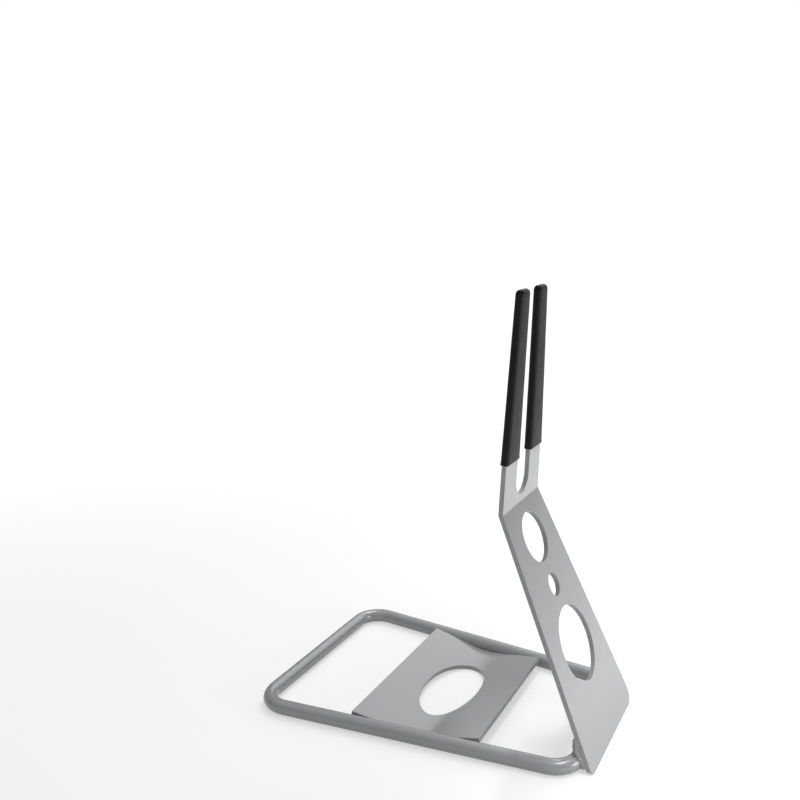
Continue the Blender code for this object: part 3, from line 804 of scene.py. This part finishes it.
def buildSleeve(name, side, node):
    clear = upright["seat"]
    grow = clear + sleeve["wall"]
    bottom, top = sleeve["mouth"], upright["upperLength"] + grow
    shape = bmesh.new()
    rings = []

    def lay(points, height=None, wavy=True):
        # one more ring, moved to the height where one is given
        if height is not None:
            points = [Vector((point.x, height, point.z)) for point in points]
        middle = sum(points, Vector()) / len(points)
        placed = []
        for point in points:
            outward = Vector((point.x - middle.x, 0, point.z - middle.z)).normalized()
            dent = sleeveDent(point, side) if wavy else 0.0
            placed.append(placeOnFork(point - outward * dent))
        rings.append(addRing(shape, placed))

    # inside, from the pocket's end down to the mouth
    for height in (upright["upperLength"] + clear, bottom + sleeve["pocketStart"]):
        lay(sleeveRing(side, min(height, upright["upperLength"]), clear, sleeve["pocketRound"]), height,
            wavy=False)
    # round lip of the mouth
    lip = sleeve["wall"] / 2
    for k in range(sleeve["lipSteps"] + 1):
        share = k / sleeve["lipSteps"]
        corner = sleeve["pocketRound"] + (sleeve["lipRound"] - sleeve["pocketRound"]) * share
        lay(sleeveRing(side, bottom, clear + lip - lip * cos(pi * share), corner),
            bottom + lip - lip * sin(pi * share), wavy=False)
    # outside, up to the rounded tip
    shoulder = top - sleeve["tipRound"]
    for k in range(1, sleeve["rows"]):
        height = bottom + lip + (shoulder - bottom - lip) * k / (sleeve["rows"] - 1)
        lay(sleeveRing(side, height, grow, sleeve["longRound"]))
    for k in range(1, sleeve["tipSteps"] + 1):
        angle = pi / 2 * k / sleeve["tipSteps"]
        inset = sleeve["tipRound"] * (1 - cos(angle))
        lay(sleeveRing(side, shoulder, grow, sleeve["tipCorner"], inset),
            shoulder + sleeve["tipRound"] * sin(angle))
    skinRings(shape, rings)
    shape.faces.new(rings[0])
    shape.faces.new(rings[-1])
    newPiece(name, shape, rubber, "black_rubber", node)


buildSleeve("prongSleeveNear", -1, "prong_sleeve_near")
buildSleeve("prongSleeveFar", 1, "prong_sleeve_far")
print("sleeves built")


# Weld beads: laid in overlapping crescents, then painted with the rest

bead = {
    "radius": 0.0024,
    "pitch": 0.0021,         # from one crescent to the next
    "ripple": 0.16,          # how far a crescent starts below its leading edge, in radii
    "rise": 1.5,             # above 1, it rises faster at first
    "bow": 0.45,             # how far its flanks trail the crown, in crescents
    "unevenness": 0.10,      # how much the crescents differ in size
    "endSize": 0.45,         # where the bead starts and stops, in full radii
    "endRun": 1.1,           # crescents until it has its full size
    "tipReach": 0.2,         # how far the tips stand out, in radii
    "lumpMm": 3.2,
    "lumpBias": 0.2,         # the lumpy skin sinks more than it swells
    "lumpSpread": 0.1,       # so that no two beads are alike
    "sides": 18,
    "ringsPerRipple": 7,
    # stitches under the cross plate
    "stitchLength": 0.0180,
    "stitchInset": 0.0090,   # from the plate's edge
    "stitchBelow": 0.5,      # from the sheet to the bead's axis, in radii
    "stitchOff": 0.65,       # from the tube to the bead's axis, in radii
    "stitchFacing": 0.8,     # inward, to each 1 downward
    # long bead in the groove where the upright leans over the tube
    "filletLength": 0.0900,
    "filletIn": 0.5,         # from the tube's outer side to the bead's axis, in radii
    "filletDown": 0.2,       # from the tube's upper side to the bead's axis, in radii
    "filletFacing": 0.6,     # away from the plate, to each 1 up along it
    # beads that climb the upright's side edges: height, distance off the plate's inner face, radius
    "climb": ((0.0030, 0.0026, 0.0027), (0.0080, 0.0016, 0.0028), (0.0130, 0.0026, 0.0031),
              (0.0170, 0.0027, 0.0031), (0.0220, 0.0013, 0.0027), (0.0265, 0.0004, 0.0022)),
    "climbInset": 0.0015,    # from the side edge
    "climbFacing": 0.8,      # away from the plate, to each 1 sideways
    "climbLumps": 0.15,
}


def smoothRun(run, steps):
    # a smooth curve through (point, radius) stations
    stations = [Vector((*point, radius)) for point, radius in run]
    stations = [2 * stations[0] - stations[1]] + stations + [2 * stations[-1] - stations[-2]]
    curve = []
    for k in range(steps + 1):
        along = (len(run) - 1) * k / steps
        first = min(int(along), len(run) - 2)
        t = along - first
        a, b, c, d = stations[first:first + 4]
        curve.append(0.5 * (2 * b + (c - a) * t + (2 * a - 5 * b + 4 * c - d) * t * t
                            + (3 * b - a - 3 * c + d) * t ** 3))
    return [(Vector(place[:3]), place[3]) for place in curve]


def buildBead(name, node, run, outward, seed, lumps=0.0):
    # sweep along the run; each crescent rises to its leading edge, which bows forward in the middle
    chance = random.Random(seed)
    length = sum((after[0] - before[0]).length for before, after in zip(run, run[1:]))
    ripples = max(3, round(length / bead["pitch"]))
    swell = [1 + bead["unevenness"] * (chance.random() - 0.5) for _ in range(ripples + 2)]
    steps = ripples * bead["ringsPerRipple"]
    curve = smoothRun(run, steps)
    shape = bmesh.new()
    rings = []
    for k, (middle, radius) in enumerate(curve):
        ahead = (curve[min(k + 1, steps)][0] - curve[max(k - 1, 0)][0]).normalized()
        crown = (outward - ahead * outward.dot(ahead)).normalized()
        sideways = ahead.cross(crown)
        along = k / bead["ringsPerRipple"]
        nearEnd = min(1.0, min(along, ripples - along) / bead["endRun"])
        taper = bead["endSize"] + (1 - bead["endSize"]) * sin(nearEnd * pi / 2)
        points = []
        for angle in evenTurns(bead["sides"]):
            trail = bead["bow"] * (1 - cos(angle)) / 2      # 0 on the crown, more down the flanks
            dip = (1 - (along + trail) % 1.0) ** bead["rise"]
            size = swell[int(along + trail)]
            reach = radius * taper * size * (1 - bead["ripple"] * dip)
            point = middle + reach * (crown * cos(angle) + sideways * sin(angle))
            if lumps:
                sample = (point + Vector((bead["lumpSpread"] * seed, 0, 0))) * perMm(bead["lumpMm"])
                point += (point - middle) * lumps * (noise.noise(sample) - bead["lumpBias"])
            points.append(point)
        rings.append(addRing(shape, points))
    skinRings(shape, rings)
    # both ends close on a point that stands out a little
    start, finish = curve[0][0], curve[-1][0]
    tips = ((rings[0], start - (curve[1][0] - start).normalized() * curve[0][1] * bead["tipReach"]),
            (rings[-1], finish + (finish - curve[-2][0]).normalized() * curve[-1][1] * bead["tipReach"]))
    for ring, tip in tips:
        point = shape.verts.new(tip)
        for k in range(len(ring)):
            shape.faces.new((ring[k], ring[(k + 1) % len(ring)], point))
    newPiece(name, shape, weldCoat, "painted_weld", node)


def buildCrossWelds():
    # in the corners between the trough's underside and the tube
    depth = cross["thickness"] / 2 + bead["stitchBelow"] * bead["radius"]
    offAxis = loop["radius"] + bead["stitchOff"] * bead["radius"]
    for word, side in (("Near", -1), ("Far", 1)):
        for edgeWord, end in (("Free", -1), ("Foot", 1)):
            run = []
            for inset in (bead["stitchInset"], bead["stitchInset"] + bead["stitchLength"]):
                point = placeOnTrough(Vector((end * (cross["width"] / 2 - inset), 0, -depth)))
                point.y = side * (sideY(point.x) - offAxis)
                run.append((point, bead["radius"]))
            node = "cross_weld_" + word.lower() + "_" + edgeWord.lower()
            seed = 11 + side + 3 * end      # another one for each bead
            buildBead("crossWeld" + word + edgeWord, node, run,
                      Vector((0, -bead["stitchFacing"] * side, -1)), seed)


def buildUprightWelds():
    # the long one in the groove
    axis = Vector((loop["footX"], 0, loop["radius"]))
    middle = (axis + lowerOut * (loop["radius"] - bead["filletIn"] * bead["radius"])
              + lowerUp * (loop["radius"] - bead["filletDown"] * bead["radius"]))
    half = acrossRack * (bead["filletLength"] / 2)
    run = [(middle - half, bead["radius"]), (middle + half, bead["radius"])]
    facing = lowerUp - lowerOut * bead["filletFacing"]
    buildBead("uprightWeldInner", "upright_weld_inner", run, facing, 23)
    # and one up each side edge
    for word, side in (("Near", -1), ("Far", 1)):
        run = []
        for height, offFace, radius in bead["climb"]:
            depth = upright["thickness"] / 2 + offFace
            upPlate = (height + depth * sin(lean)) / cos(lean)
            taper = (upright["footWidth"] - upright["bendWidth"]) * upPlate / upright["lowerLength"]
            across = acrossRack * side * ((upright["footWidth"] - taper) / 2 - bead["climbInset"])
            run.append((footPoint + lowerUp * upPlate - lowerOut * depth + across, radius))
        facing = acrossRack * side - lowerOut * bead["climbFacing"]
        buildBead("uprightWeld" + word, "upright_weld_" + word.lower(), run, facing, 31 + side,
                  lumps=bead["climbLumps"])


buildCrossWelds()
buildUprightWelds()
print("welds built")
